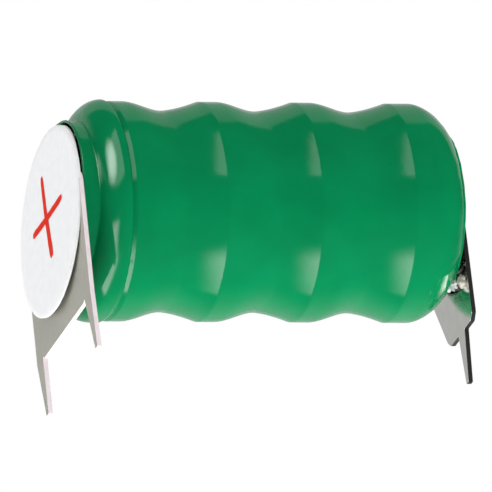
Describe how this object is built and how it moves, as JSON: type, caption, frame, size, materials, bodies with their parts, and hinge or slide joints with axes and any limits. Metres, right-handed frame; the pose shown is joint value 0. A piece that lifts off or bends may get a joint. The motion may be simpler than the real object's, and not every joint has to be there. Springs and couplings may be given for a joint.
{
  "type": "button cell battery pack",
  "caption": "Memory back-up battery: round button cells stacked in a heat-shrunk sleeve, with flat solder tags whose pins fit a circuit board.",
  "frame": {"origin": "on the plane of the solder pins' tips, at the middle of the pack's length and width", "axes": "+Z is away from the circuit board, +X runs along the pack from the two-pin positive end to the one-pin negative end"},
  "size_m": [0.0232, 0.012, 0.0161],
  "materials": {
    "film": "glossy heat-shrunk PVC film",
    "can_steel": "nickel-plated steel",
    "nickel": "rolled nickel strip",
    "tin": "dull tinned steel",
    "paper": "white insulating paper",
    "fibre": "pressed insulating fibre",
    "gasket": "natural nylon",
    "electrode": "pressed powder tablet",
    "fleece": "separator fleece"
  },
  "bodies": {
    "root": {"cell_1_can": "can_steel", "cell_1_lid": "can_steel", "cell_1_gasket": "gasket", "cell_1_positive_electrode": "electrode", "cell_1_separator": "fleece", "cell_1_negative_electrode": "electrode", "cell_1_contact_spring": "nickel", "cell_2_can": "can_steel", "cell_2_lid": "can_steel", "cell_2_gasket": "gasket", "cell_2_positive_electrode": "electrode", "cell_2_separator": "fleece", "cell_2_negative_electrode": "electrode", "cell_2_contact_spring": "nickel", "cell_3_can": "can_steel", "cell_3_lid": "can_steel", "cell_3_gasket": "gasket", "cell_3_positive_electrode": "electrode", "cell_3_separator": "fleece", "cell_3_negative_electrode": "electrode", "cell_3_contact_spring": "nickel", "cell_4_can": "can_steel", "cell_4_lid": "can_steel", "cell_4_gasket": "gasket", "cell_4_positive_electrode": "electrode", "cell_4_separator": "fleece", "cell_4_negative_electrode": "electrode", "cell_4_contact_spring": "nickel", "cell_link_1": "nickel", "cell_link_2": "nickel", "cell_link_3": "nickel", "insulating_ring_1": "fibre", "insulating_ring_2": "fibre", "insulating_ring_3": "fibre", "insulating_ring_4": "fibre", "shrink_sleeve": "film", "positive_disc": "paper", "positive_tag": "tin", "negative_tag": "tin"}
  },
  "joints": []
}
